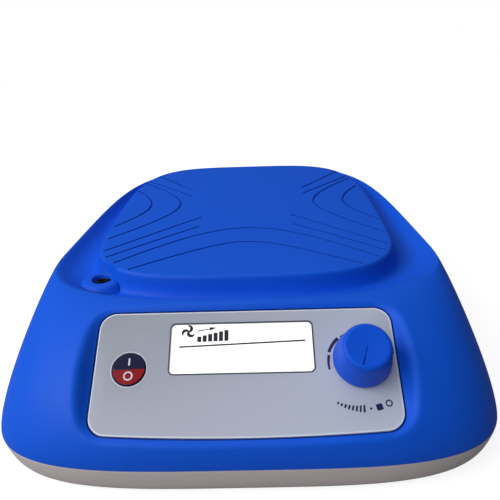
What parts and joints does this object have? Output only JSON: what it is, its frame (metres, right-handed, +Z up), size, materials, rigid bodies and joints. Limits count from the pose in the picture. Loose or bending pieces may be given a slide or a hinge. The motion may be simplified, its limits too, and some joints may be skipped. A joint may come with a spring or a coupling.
{
  "type": "magnetic stirrer",
  "caption": "Compact bench magnetic stirrer with a flat grooved platform, spill trough, support-rod collar, sloping panel with display, push button and speed knob.",
  "frame": {"origin": "middle of the footprint, on the bench plane under the rubber feet; the stirring axis stands at y = 30.95 mm", "axes": "+X to the right seen from the control panel, +Y from the panel towards the back, +Z up out of the vessel platform"},
  "size_m": [0.2002, 0.2369, 0.058],
  "materials": {
    "blue_abs": "satin moulded, fine texture",
    "knob_blue": "satin moulded",
    "grey_abs": "fine textured moulding",
    "rubber_black": "matt",
    "zinc_screw": "zinc plated",
    "label_foil": "silver foil, blank",
    "panel_grey": "printed overlay, fine texture",
    "clear_lens": "clear acrylic",
    "lcd_white": "backlit display",
    "pcb_green": "solder mask",
    "button_film": "gloss, two-colour face",
    "switch_black": "moulded",
    "switch_ivory": "moulded",
    "steel": "bright",
    "stainless": "turned",
    "nickel": "nickel plated",
    "ferrite": "sintered ferrite",
    "copper_winding": "enamelled copper on laminations",
    "galvanised": "galvanised sheet",
    "carrier_black": "glass-filled nylon",
    "cap_blue": "sleeved can",
    "chip_black": "moulded",
    "connector_ivory": "nylon",
    "wire_red": "PVC",
    "wire_black": "PVC",
    "ribbon_grey": "PVC ribbon"
  },
  "bodies": {
    "case": {"upper_housing": "blue_abs", "base_cover": "grey_abs", "rubber_feet": "rubber_black", "housing_screws": "zinc_screw", "rating_plate": "label_foil", "control_panel": "panel_grey", "display_lens": "clear_lens", "lcd_module": "lcd_white", "display_board": "pcb_green", "display_board_screws": "zinc_screw", "power_switch": "switch_black", "encoder_body": "steel", "encoder_washer": "steel", "encoder_nut": "steel", "rod_socket": "stainless", "motor_can": "steel", "motor_end_bell": "switch_black", "motor_bearings": "steel", "motor_magnets": "ferrite", "motor_bracket": "galvanised", "motor_screws": "zinc_screw", "bracket_grommets": "rubber_black", "bracket_screws": "zinc_screw", "main_board": "pcb_green", "board_screws": "zinc_screw", "board_capacitors": "cap_blue", "board_chips": "chip_black", "board_connectors": "connector_ivory", "voltage_regulator": "chip_black", "motor_lead": "wire_red", "jack_lead": "wire_black", "panel_ribbon": "ribbon_grey", "dc_jack": "switch_black", "dc_jack_nut": "nickel"},
    "power_key": {"power_button": "button_film", "power_switch_plunger": "switch_ivory"},
    "knob_carriage": {"encoder_plunger": "switch_ivory"},
    "knob_and_shaft": {"encoder_shaft": "steel", "speed_knob": "knob_blue"},
    "magnet_rotor": {"motor_shaft": "stainless", "motor_armature": "copper_winding", "magnet_carrier": "carrier_black", "keeper_plate": "steel", "drive_magnets": "nickel", "carrier_set_screw": "zinc_screw"}
  },
  "joints": [
    {"name": "power_key_press", "type": "slide", "parent": "case", "child": "power_key", "axis": [0, 0.5621, -0.8271], "range_m": [0, 0.0004]},
    {"name": "knob_press", "type": "slide", "parent": "case", "child": "knob_carriage", "axis": [0, 0.5621, -0.8271], "range_m": [0, 0.0005]},
    {"name": "knob_turn", "type": "hinge", "parent": "knob_carriage", "child": "knob_and_shaft", "pos_m": [0.044, -0.09074, 0.0389], "axis": [0, -0.5621, 0.8271], "continuous": true},
    {"name": "magnet_spin", "type": "hinge", "parent": "case", "child": "magnet_rotor", "pos_m": [0, 0.03095, 0.04], "axis": [0, 0, 1], "continuous": true}
  ]
}
